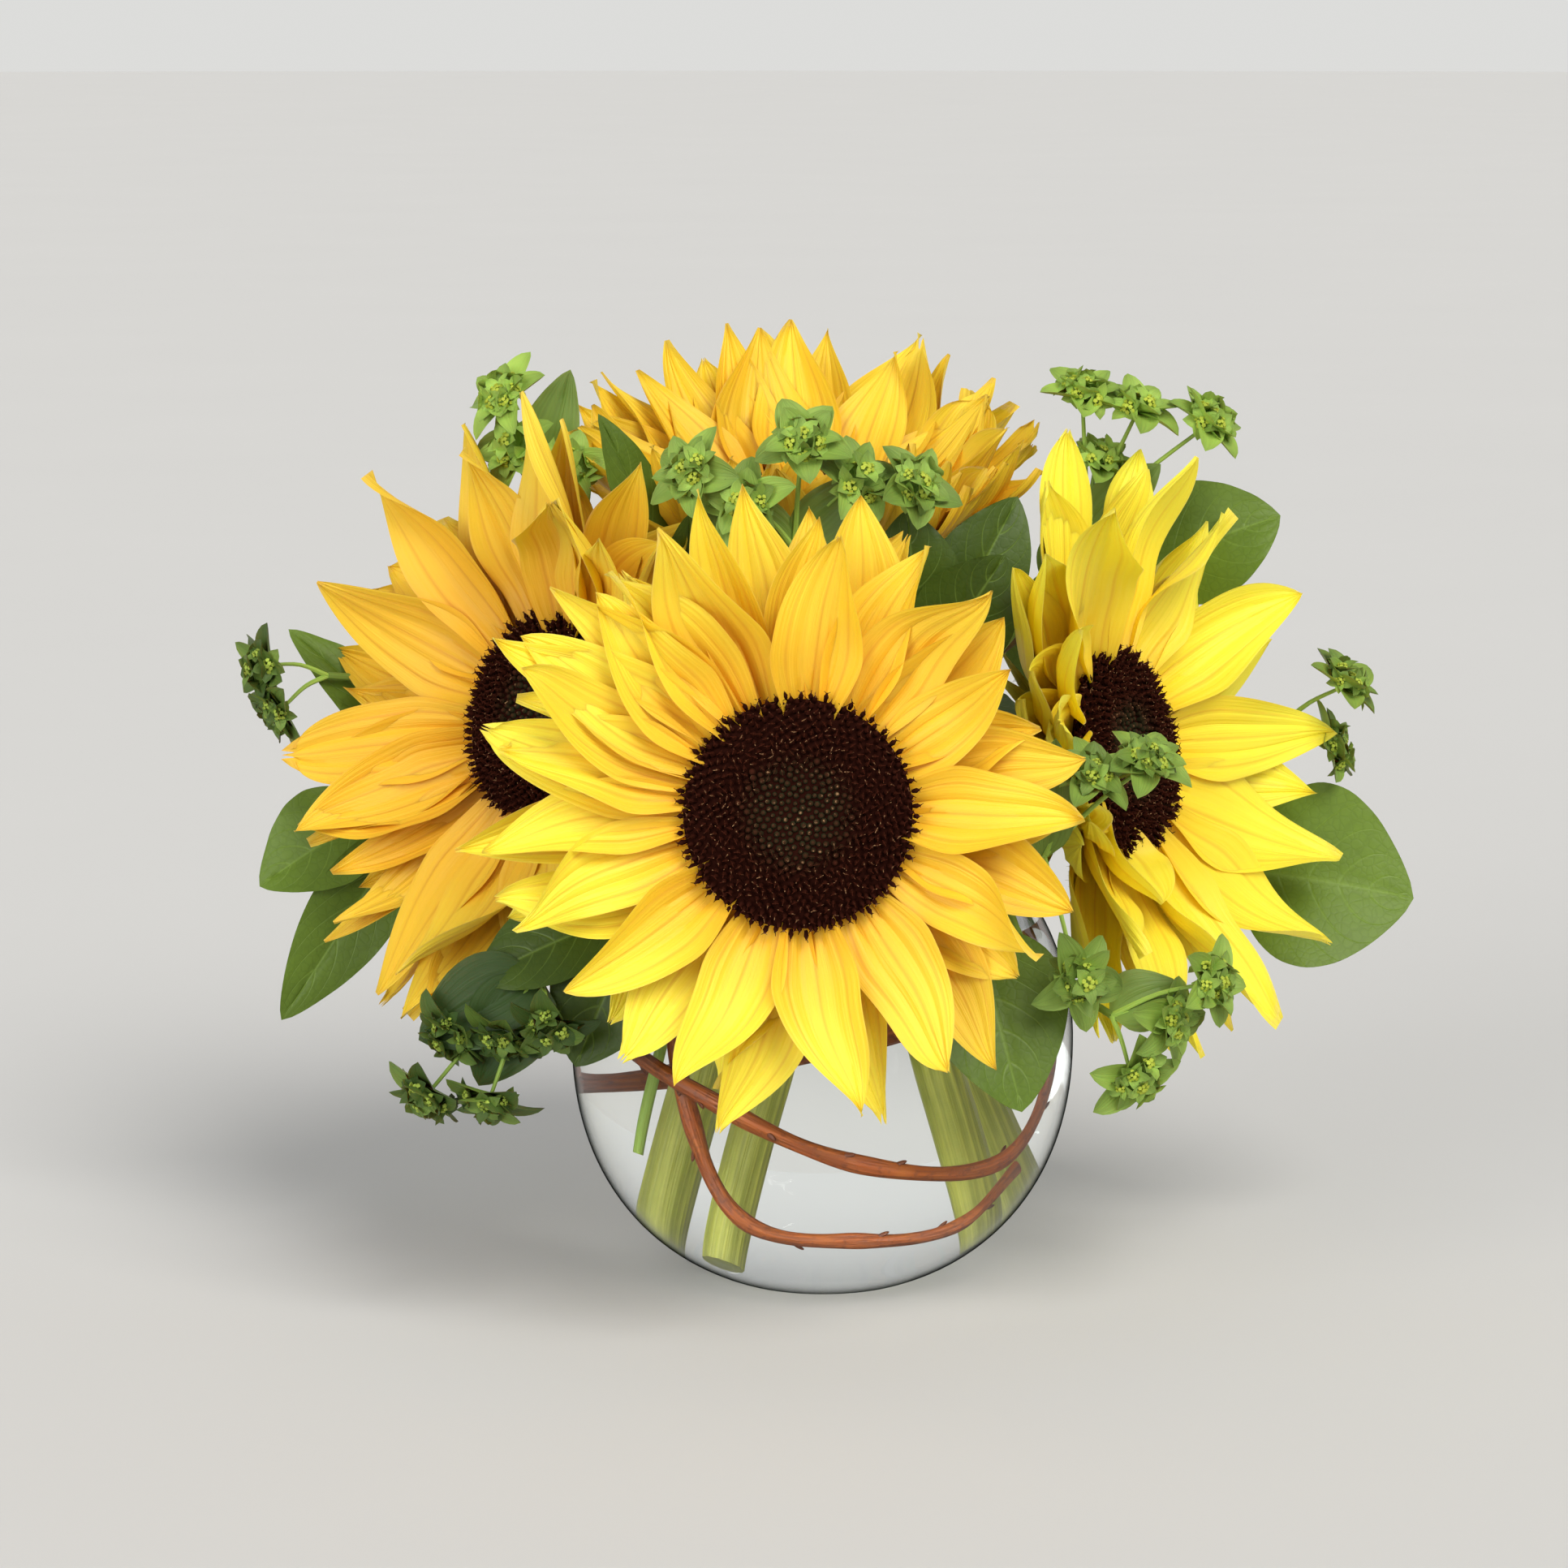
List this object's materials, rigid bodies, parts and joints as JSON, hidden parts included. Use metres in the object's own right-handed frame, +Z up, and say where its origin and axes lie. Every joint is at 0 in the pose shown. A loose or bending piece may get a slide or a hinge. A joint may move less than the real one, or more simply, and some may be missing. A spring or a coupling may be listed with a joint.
{
  "type": "sunflowers in a vase",
  "caption": "Low, loose bouquet of sunflowers with broad leaves, green filler sprays and curly twigs, standing in a round glass bowl of water.",
  "frame": {"origin": "centre of the bowl's flat foot, on the surface it stands on", "axes": "+Z up; the front sunflower faces -Y; +X to the right as it is looked at from the front"},
  "size_m": [0.3326, 0.2392, 0.2602],
  "materials": {
    "bowl": "gloss",
    "water": "gloss",
    "petals": "satin",
    "disc": "matte",
    "stem": "satin",
    "willow": "satin",
    "salal": "satin",
    "bupleurum": "matte"
  },
  "bodies": {
    "root": {"bowl": "bowl", "water": "water", "front_sunflower_petals": "petals", "left_sunflower_petals": "petals", "right_sunflower_petals": "petals", "top_sunflower_petals": "petals", "front_sunflower_disc": "disc", "left_sunflower_disc": "disc", "right_sunflower_disc": "disc", "top_sunflower_disc": "disc", "front_sunflower_stem": "stem", "left_sunflower_stem": "stem", "right_sunflower_stem": "stem", "top_sunflower_stem": "stem", "willow_1": "willow", "willow_2": "willow", "willow_3": "willow", "salal_1": "salal", "salal_2": "salal", "salal_3": "salal", "salal_4": "salal", "salal_5": "salal", "salal_6": "salal", "salal_7": "salal", "salal_8": "salal", "salal_9": "salal", "salal_10": "salal", "bupleurum_1": "bupleurum", "bupleurum_2": "bupleurum", "bupleurum_3": "bupleurum", "bupleurum_4": "bupleurum", "bupleurum_5": "bupleurum", "bupleurum_6": "bupleurum", "bupleurum_7": "bupleurum", "bupleurum_8": "bupleurum", "bupleurum_9": "bupleurum"}
  },
  "joints": []
}
